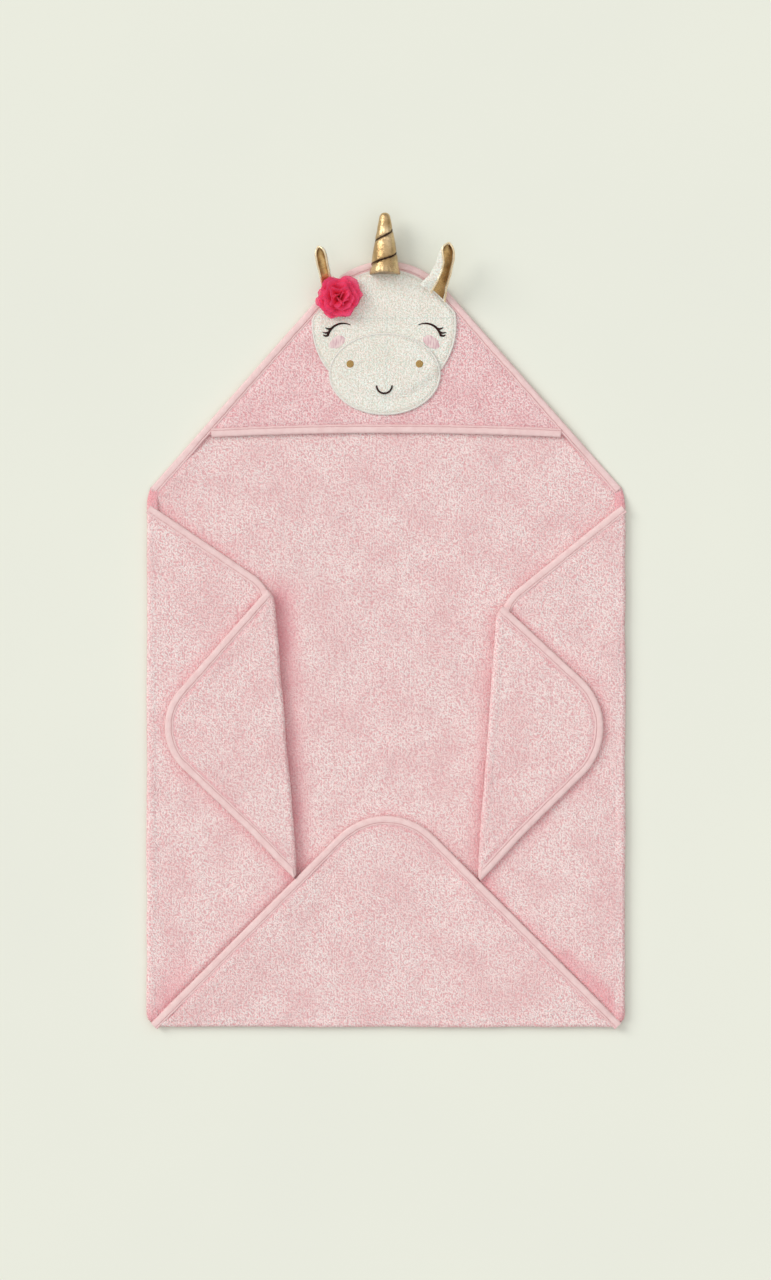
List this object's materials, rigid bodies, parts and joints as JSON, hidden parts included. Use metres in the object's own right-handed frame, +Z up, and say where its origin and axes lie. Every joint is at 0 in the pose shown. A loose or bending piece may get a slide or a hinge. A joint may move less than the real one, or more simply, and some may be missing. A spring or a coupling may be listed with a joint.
{
  "type": "hooded baby towel",
  "caption": "Square pink terry baby towel folded flat, with a bound hood appliqued with an animal face, a stuffed gold horn, cupped ears and a fabric flower.",
  "frame": {"origin": "on the underside, where the open square's two diagonals cross", "axes": "+Y towards the hood's corner, +Z up through the folded layers, +X to the right seen from above"},
  "size_m": [0.534, 0.9189, 0.0422],
  "materials": {
    "terry_pink": "cotton terry loops",
    "binding_pink": "woven cotton bias tape, folded and stitched",
    "plush_white": "short white plush",
    "thread_white": "satin stitch",
    "thread_brown": "dark brown embroidery thread",
    "thread_rose": "dusty pink satin stitch",
    "thread_gold": "gold satin stitch",
    "lame_gold": "gold lame cloth with a metallic sheen",
    "stuffing_white": "polyester fibre filling",
    "chiffon_crimson": "sheer crimson chiffon with frayed edges",
    "felt_crimson": "crimson felt"
  },
  "bodies": {
    "back": {"back_panel": "terry_pink", "crown_binding": "binding_pink", "hood_crown_panel": "terry_pink", "face_top_applique": "plush_white", "face_top_stitching": "thread_white", "flower_button": "felt_crimson", "flower_outer_petals": "chiffon_crimson", "flower_middle_petals": "chiffon_crimson", "flower_inner_petals": "chiffon_crimson"},
    "hood": {"hood_front_panel": "terry_pink", "hood_mouth_binding": "binding_pink", "face_front_applique": "plush_white", "face_front_stitching": "thread_white", "muzzle_applique": "plush_white", "muzzle_stitching": "thread_white", "smile": "thread_brown", "left_eye": "thread_brown", "right_eye": "thread_brown", "left_cheek": "thread_rose", "right_cheek": "thread_rose", "left_nostril": "thread_gold", "right_nostril": "thread_gold"},
    "left_wing": {"left_wing_panel": "terry_pink", "left_wing_binding": "binding_pink"},
    "right_wing": {"right_wing_panel": "terry_pink", "right_wing_binding": "binding_pink"},
    "left_tip": {"left_tip_panel": "terry_pink", "left_tip_binding": "binding_pink"},
    "right_tip": {"right_tip_panel": "terry_pink", "right_tip_binding": "binding_pink"},
    "bottom_flap": {"bottom_flap_panel": "terry_pink", "bottom_flap_binding": "binding_pink"},
    "left_ear": {"left_ear_back": "plush_white", "left_ear_lining": "lame_gold"},
    "right_ear": {"right_ear_back": "plush_white", "right_ear_lining": "lame_gold"},
    "horn": {"horn_skin": "lame_gold", "horn_stuffing": "stuffing_white", "horn_winding": "thread_brown"}
  },
  "joints": [
    {"name": "left_wing_fold", "type": "hinge", "parent": "back", "child": "left_wing", "pos_m": [-0.2675, -0.02, 0.0045], "axis": [0, -1, 0], "range_deg": [0, 180]},
    {"name": "right_wing_fold", "type": "hinge", "parent": "back", "child": "right_wing", "pos_m": [0.2675, -0.02, 0.0045], "axis": [0, 1, 0], "range_deg": [0, 180]},
    {"name": "left_tip_fold", "type": "hinge", "parent": "left_wing", "child": "left_tip", "pos_m": [-0.104, -0.15, 0.0095], "axis": [-0.083, 0.9965, 0], "range_deg": [0, 180]},
    {"name": "right_tip_fold", "type": "hinge", "parent": "right_wing", "child": "right_tip", "pos_m": [0.107, -0.153, 0.0095], "axis": [-0.0715, -0.9974, 0], "range_deg": [0, 180]},
    {"name": "bottom_flap_fold", "type": "hinge", "parent": "back", "child": "bottom_flap", "pos_m": [0, -0.3165, 0.0045], "axis": [1, 0, 0], "range_deg": [0, 180]},
    {"name": "hood_open", "type": "hinge", "parent": "back", "child": "hood", "pos_m": [0, 0.484, 0.01275], "axis": [-1, 0, 0], "range_deg": [0, 30]},
    {"name": "left_ear_flop", "type": "hinge", "parent": "back", "child": "left_ear", "pos_m": [-0.0621, 0.5295, 0.0155], "axis": [0.9216, 0.3882, 0], "range_deg": [-15, 15], "stiffness_Nm_per_rad": 0.01},
    {"name": "right_ear_flop", "type": "hinge", "parent": "back", "child": "right_ear", "pos_m": [0.0545, 0.5175, 0.0155], "axis": [0.9573, -0.2891, 0], "range_deg": [-15, 100], "stiffness_Nm_per_rad": 0.01},
    {"name": "horn_tilt", "type": "hinge", "parent": "back", "child": "horn", "pos_m": [-0.0013, 0.537, 0.013], "axis": [1, 0, 0], "range_deg": [0, 90]}
  ]
}
